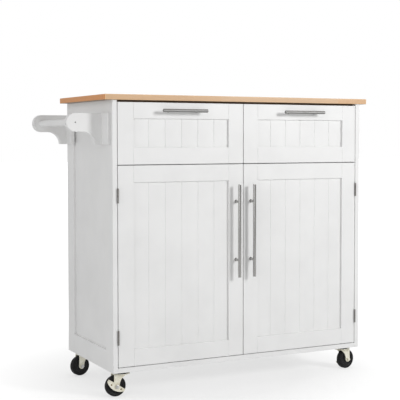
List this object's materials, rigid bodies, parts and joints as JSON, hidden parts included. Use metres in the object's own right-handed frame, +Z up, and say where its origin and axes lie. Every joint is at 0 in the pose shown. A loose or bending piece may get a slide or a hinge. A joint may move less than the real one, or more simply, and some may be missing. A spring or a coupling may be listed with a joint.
{
  "type": "kitchen island cart",
  "caption": "White kitchen island cart with a wood top, drawers over panelled doors, a side towel rail and braked swivel casters.",
  "frame": {"origin": "on the floor, at the middle of the whole cart's footprint, towel rail and handles included", "axes": "+X to the right as seen from the front, +Y from the doors to the back, +Z up; the doors and drawers face -Y"},
  "size_m": [1.03, 0.437, 0.914],
  "materials": {
    "white_paint": "satin white paint on board",
    "rubberwood": "clear-oiled rubberwood staves",
    "back_board": "thin white-faced board",
    "raw_board": "unpainted board",
    "drawer_white": "white-faced board",
    "handle_steel": "brushed nickel",
    "hinge_steel": "dark nickel",
    "runner_steel": "zinc-plated sheet",
    "shelf_pin_steel": "nickel-plated",
    "screw_steel": "zinc-plated",
    "catch_plastic": "moulded white plastic with a magnet",
    "zinc_plate": "yellowish zinc plating",
    "dark_plate": "dark passivated steel",
    "wheel_black": "black tread on a black hub"
  },
  "bodies": {
    "cabinet": {"worktop": "rubberwood", "left_side_frame": "white_paint", "right_side_frame": "white_paint", "left_side_panel": "white_paint", "right_side_panel": "white_paint", "bottom_board": "white_paint", "middle_board": "white_paint", "drawer_divider": "white_paint", "shelf": "white_paint", "back_panel": "back_board", "top_rails": "raw_board", "shelf_pins": "shelf_pin_steel", "cabinet_runners": "runner_steel", "hinge_leaves": "hinge_steel", "hinge_pins": "hinge_steel", "magnet_catches": "catch_plastic", "rack_arm_front": "white_paint", "rack_arm_rear": "white_paint", "rack_plates": "white_paint", "towel_rail": "white_paint", "rack_screws": "screw_steel", "caster_plates": "dark_plate", "caster_screws": "screw_steel"},
    "left_drawer": {"left_drawer_frame": "white_paint", "left_drawer_panel": "white_paint", "left_drawer_box": "drawer_white", "left_drawer_bottom": "drawer_white", "left_drawer_runners": "runner_steel", "left_drawer_handle": "handle_steel", "left_drawer_screws": "screw_steel"},
    "right_drawer": {"right_drawer_frame": "white_paint", "right_drawer_panel": "white_paint", "right_drawer_box": "drawer_white", "right_drawer_bottom": "drawer_white", "right_drawer_runners": "runner_steel", "right_drawer_handle": "handle_steel", "right_drawer_screws": "screw_steel"},
    "left_door": {"left_door_frame": "white_paint", "left_door_panel": "white_paint", "left_door_leaves": "hinge_steel", "left_door_strike": "screw_steel", "left_door_handle": "handle_steel", "left_door_screws": "screw_steel"},
    "right_door": {"right_door_frame": "white_paint", "right_door_panel": "white_paint", "right_door_leaves": "hinge_steel", "right_door_strike": "screw_steel", "right_door_handle": "handle_steel", "right_door_screws": "screw_steel"},
    "front_left_fork": {"front_left_fork": "zinc_plate"},
    "front_left_wheel": {"front_left_wheel": "wheel_black"},
    "front_left_brake": {"front_left_brake": "zinc_plate"},
    "rear_left_fork": {"rear_left_fork": "zinc_plate"},
    "rear_left_wheel": {"rear_left_wheel": "wheel_black"},
    "front_right_fork": {"front_right_fork": "zinc_plate"},
    "front_right_wheel": {"front_right_wheel": "wheel_black"},
    "front_right_brake": {"front_right_brake": "zinc_plate"},
    "rear_right_fork": {"rear_right_fork": "zinc_plate"},
    "rear_right_wheel": {"rear_right_wheel": "wheel_black"}
  },
  "joints": [
    {"name": "left_drawer_slide", "type": "slide", "parent": "cabinet", "child": "left_drawer", "axis": [0, -1, 0], "range_m": [0, 0.27]},
    {"name": "right_drawer_slide", "type": "slide", "parent": "cabinet", "child": "right_drawer", "axis": [0, -1, 0], "range_m": [0, 0.27]},
    {"name": "left_door_hinge", "type": "hinge", "parent": "cabinet", "child": "left_door", "pos_m": [-0.3789, -0.1911, 0.095], "axis": [0, 0, -1], "range_deg": [0, 175]},
    {"name": "right_door_hinge", "type": "hinge", "parent": "cabinet", "child": "right_door", "pos_m": [0.4739, -0.1911, 0.095], "axis": [0, 0, 1], "range_deg": [0, 175]},
    {"name": "front_left_swivel", "type": "hinge", "parent": "cabinet", "child": "front_left_fork", "pos_m": [-0.355, -0.1465, 0.078], "axis": [0, 0, 1], "continuous": true},
    {"name": "front_left_wheel_spin", "type": "hinge", "parent": "front_left_fork", "child": "front_left_wheel", "pos_m": [-0.373, -0.1465, 0.032], "axis": [0, -1, 0], "continuous": true},
    {"name": "front_left_brake_lever", "type": "hinge", "parent": "front_left_fork", "child": "front_left_brake", "pos_m": [-0.373, -0.1465, 0.032], "axis": [0, -1, 0], "range_deg": [0, 16]},
    {"name": "rear_left_swivel", "type": "hinge", "parent": "cabinet", "child": "rear_left_fork", "pos_m": [-0.355, 0.1745, 0.078], "axis": [0, 0, 1], "continuous": true},
    {"name": "rear_left_wheel_spin", "type": "hinge", "parent": "rear_left_fork", "child": "rear_left_wheel", "pos_m": [-0.37273, 0.17137, 0.032], "axis": [0.1736, -0.9848, 0], "continuous": true},
    {"name": "front_right_swivel", "type": "hinge", "parent": "cabinet", "child": "front_right_fork", "pos_m": [0.45, -0.1465, 0.078], "axis": [0, 0, 1], "continuous": true},
    {"name": "front_right_wheel_spin", "type": "hinge", "parent": "front_right_fork", "child": "front_right_wheel", "pos_m": [0.46773, -0.14337, 0.032], "axis": [-0.1736, 0.9848, 0], "continuous": true},
    {"name": "front_right_brake_lever", "type": "hinge", "parent": "front_right_fork", "child": "front_right_brake", "pos_m": [0.46773, -0.14337, 0.032], "axis": [-0.1736, 0.9848, 0], "range_deg": [0, 16]},
    {"name": "rear_right_swivel", "type": "hinge", "parent": "cabinet", "child": "rear_right_fork", "pos_m": [0.45, 0.1745, 0.078], "axis": [0, 0, 1], "continuous": true},
    {"name": "rear_right_wheel_spin", "type": "hinge", "parent": "rear_right_fork", "child": "rear_right_wheel", "pos_m": [0.46773, 0.17763, 0.032], "axis": [-0.1736, 0.9848, 0], "continuous": true}
  ]
}
